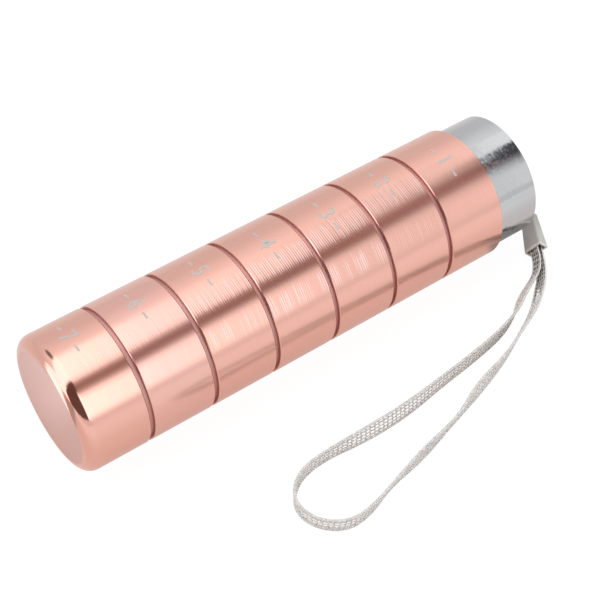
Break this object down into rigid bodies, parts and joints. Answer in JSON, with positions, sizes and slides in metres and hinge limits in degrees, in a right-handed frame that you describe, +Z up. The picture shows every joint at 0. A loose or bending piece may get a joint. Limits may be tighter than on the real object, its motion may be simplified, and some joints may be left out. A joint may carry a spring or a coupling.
{
  "type": "travel pill organizer",
  "caption": "Round metal pill tube of cups that screw end to end under a plain cap, with a wrist strap of open-weave tape.",
  "frame": {"origin": "on the surface that the tube lies on, under the middle of the tube's length and below its axis, without the strap", "axes": "+X along the tube towards the cap, +Z up, the strap lies on the -Y side"},
  "size_m": [0.1217, 0.0646, 0.03],
  "materials": {
    "rose_aluminium": "satin rose-gold anodised, fine circular turning lines",
    "silver_cap": "polished, uncoloured",
    "seal": "translucent silicone",
    "string": "braided cord",
    "ferrule": "soft moulded plastic",
    "strap_tape": "open-weave polyester tape"
  },
  "bodies": {
    "cap": {"screw_cap": "silver_cap", "string_loop": "string", "strap_ferrule": "ferrule", "wrist_strap": "strap_tape"},
    "seal_1": {"seal_1": "seal"},
    "cup_1": {"cup_1": "rose_aluminium"},
    "seal_2": {"seal_2": "seal"},
    "cup_2": {"cup_2": "rose_aluminium"},
    "seal_3": {"seal_3": "seal"},
    "cup_3": {"cup_3": "rose_aluminium"},
    "seal_4": {"seal_4": "seal"},
    "cup_4": {"cup_4": "rose_aluminium"},
    "seal_5": {"seal_5": "seal"},
    "cup_5": {"cup_5": "rose_aluminium"},
    "seal_6": {"seal_6": "seal"},
    "cup_6": {"cup_6": "rose_aluminium"},
    "seal_7": {"seal_7": "seal"},
    "cup_7": {"cup_7": "rose_aluminium"}
  },
  "joints": [
    {"name": "cup_1_travel", "type": "slide", "parent": "cap", "child": "seal_1", "axis": [-1, 0, 0], "range_m": [0, 0.006]},
    {"name": "cup_1_screw", "type": "hinge", "parent": "seal_1", "child": "cup_1", "pos_m": [0.04675, 0, 0.015], "axis": [-1, 0, 0], "range_deg": [0, 1440]},
    {"name": "cup_2_travel", "type": "slide", "parent": "cup_1", "child": "seal_2", "axis": [-1, 0, 0], "range_m": [0, 0.006]},
    {"name": "cup_2_screw", "type": "hinge", "parent": "seal_2", "child": "cup_2", "pos_m": [0.03175, 0, 0.015], "axis": [-1, 0, 0], "range_deg": [0, 1440]},
    {"name": "cup_3_travel", "type": "slide", "parent": "cup_2", "child": "seal_3", "axis": [-1, 0, 0], "range_m": [0, 0.006]},
    {"name": "cup_3_screw", "type": "hinge", "parent": "seal_3", "child": "cup_3", "pos_m": [0.01675, 0, 0.015], "axis": [-1, 0, 0], "range_deg": [0, 1440]},
    {"name": "cup_4_travel", "type": "slide", "parent": "cup_3", "child": "seal_4", "axis": [-1, 0, 0], "range_m": [0, 0.006]},
    {"name": "cup_4_screw", "type": "hinge", "parent": "seal_4", "child": "cup_4", "pos_m": [0.00175, 0, 0.015], "axis": [-1, 0, 0], "range_deg": [0, 1440]},
    {"name": "cup_5_travel", "type": "slide", "parent": "cup_4", "child": "seal_5", "axis": [-1, 0, 0], "range_m": [0, 0.006]},
    {"name": "cup_5_screw", "type": "hinge", "parent": "seal_5", "child": "cup_5", "pos_m": [-0.01325, 0, 0.015], "axis": [-1, 0, 0], "range_deg": [0, 1440]},
    {"name": "cup_6_travel", "type": "slide", "parent": "cup_5", "child": "seal_6", "axis": [-1, 0, 0], "range_m": [0, 0.006]},
    {"name": "cup_6_screw", "type": "hinge", "parent": "seal_6", "child": "cup_6", "pos_m": [-0.02825, 0, 0.015], "axis": [-1, 0, 0], "range_deg": [0, 1440]},
    {"name": "cup_7_travel", "type": "slide", "parent": "cup_6", "child": "seal_7", "axis": [-1, 0, 0], "range_m": [0, 0.006]},
    {"name": "cup_7_screw", "type": "hinge", "parent": "seal_7", "child": "cup_7", "pos_m": [-0.04325, 0, 0.015], "axis": [-1, 0, 0], "range_deg": [0, 1440]}
  ],
  "couplings": [
    {"joint": "cup_1_travel", "follows": "cup_1_screw", "m_per_rad": 0.00023873},
    {"joint": "cup_2_travel", "follows": "cup_2_screw", "m_per_rad": 0.00023873},
    {"joint": "cup_3_travel", "follows": "cup_3_screw", "m_per_rad": 0.00023873},
    {"joint": "cup_4_travel", "follows": "cup_4_screw", "m_per_rad": 0.00023873},
    {"joint": "cup_5_travel", "follows": "cup_5_screw", "m_per_rad": 0.00023873},
    {"joint": "cup_6_travel", "follows": "cup_6_screw", "m_per_rad": 0.00023873},
    {"joint": "cup_7_travel", "follows": "cup_7_screw", "m_per_rad": 0.00023873}
  ]
}
